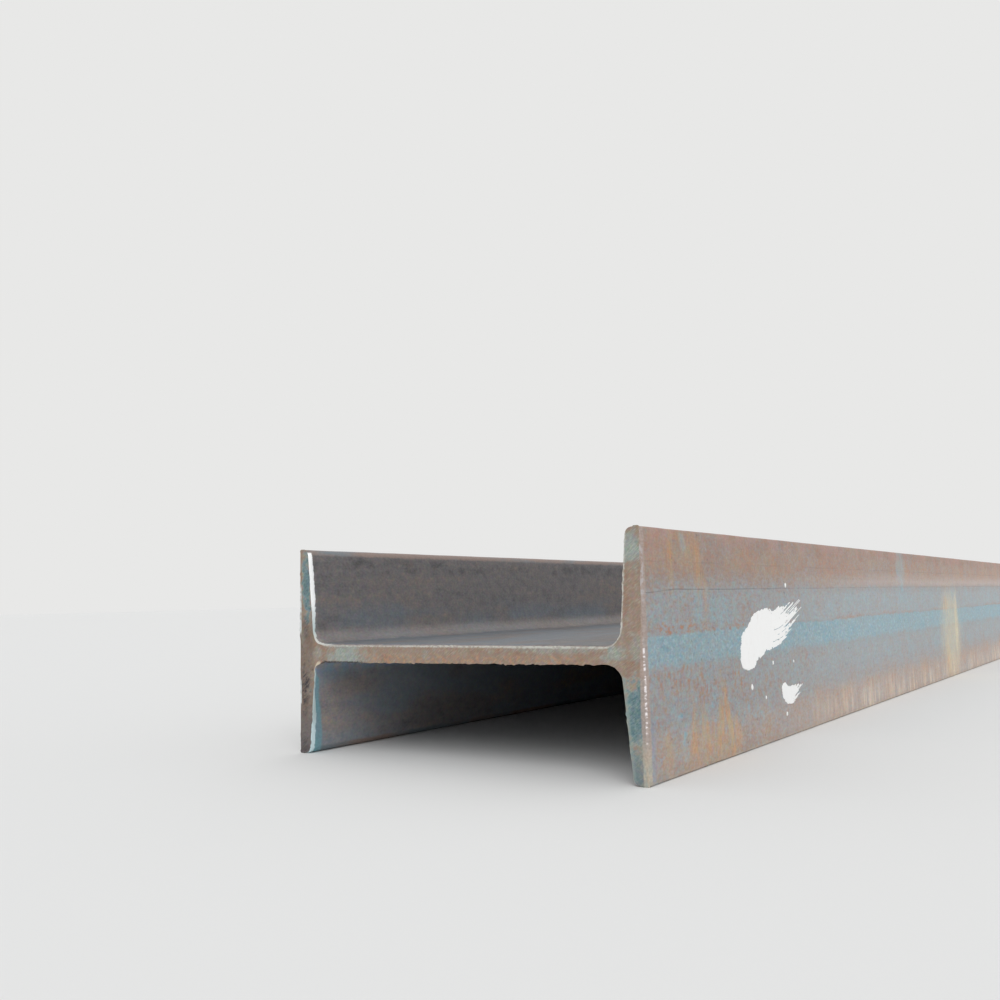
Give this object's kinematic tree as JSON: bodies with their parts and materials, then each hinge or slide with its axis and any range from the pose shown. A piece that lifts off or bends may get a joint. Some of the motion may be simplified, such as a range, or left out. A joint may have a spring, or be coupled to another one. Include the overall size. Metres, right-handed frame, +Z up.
{
  "type": "steel i-beam",
  "caption": "Hot-rolled steel I-beam with tapered flanges, sawn square, lying on its flange toes with the web level. A bare structural stock length with mill scale and light rust.",
  "frame": {"origin": "under the middle of the beam, on the surface that its flange toes rest on", "axes": "+X across the section's depth, square to the flanges' outer faces; +Y along the length; +Z up, across the flanges' width"},
  "size_m": [0.18, 6, 0.094],
  "materials": {
    "rolled_steel": "hot-rolled mill scale, blue-grey along the web line, with light reddish-brown rust; sawn ends bare and tarnished"
  },
  "bodies": {
    "root": {"i_beam": "rolled_steel"}
  },
  "joints": []
}
